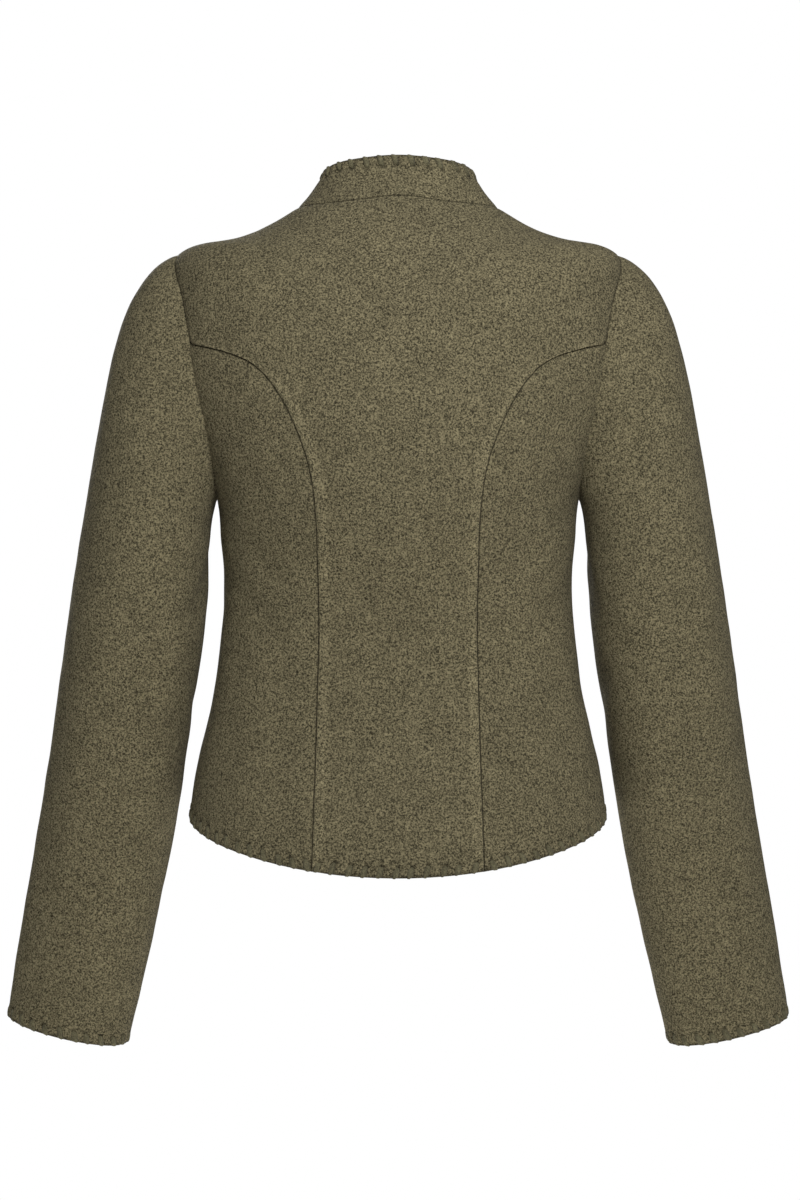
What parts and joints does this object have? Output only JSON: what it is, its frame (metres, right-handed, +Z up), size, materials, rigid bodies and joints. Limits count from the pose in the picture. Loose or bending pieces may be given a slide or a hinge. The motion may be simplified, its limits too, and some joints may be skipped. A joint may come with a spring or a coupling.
{
  "type": "tyrolean loden jacket",
  "caption": "Short fitted boiled-wool jacket in its worn, hollow shape, with a stand collar, curved back seams, a dipped hem and whip-stitched edges.",
  "frame": {"origin": "midway between the two points where the shoulder seams meet the neck seam, at their height", "axes": "+Z up, the wearer faces -Y, so the middle of the back is at +Y, and the wearer's left is at +X"},
  "size_m": [0.651, 0.2473, 0.7303],
  "materials": {
    "loden": "felted boiled wool in a mottled olive grey, matt, with a short nap",
    "horn": "turned horn buttons, dark brown, satin"
  },
  "bodies": {
    "root": {"back": "loden", "side_back_l": "loden", "side_back_r": "loden", "front_l": "loden", "front_r": "loden", "collar": "loden", "sleeve_l": "loden", "sleeve_r": "loden", "button_1": "horn", "button_2": "horn", "button_3": "horn", "button_4": "horn", "button_5": "horn", "button_6": "horn"}
  },
  "joints": []
}
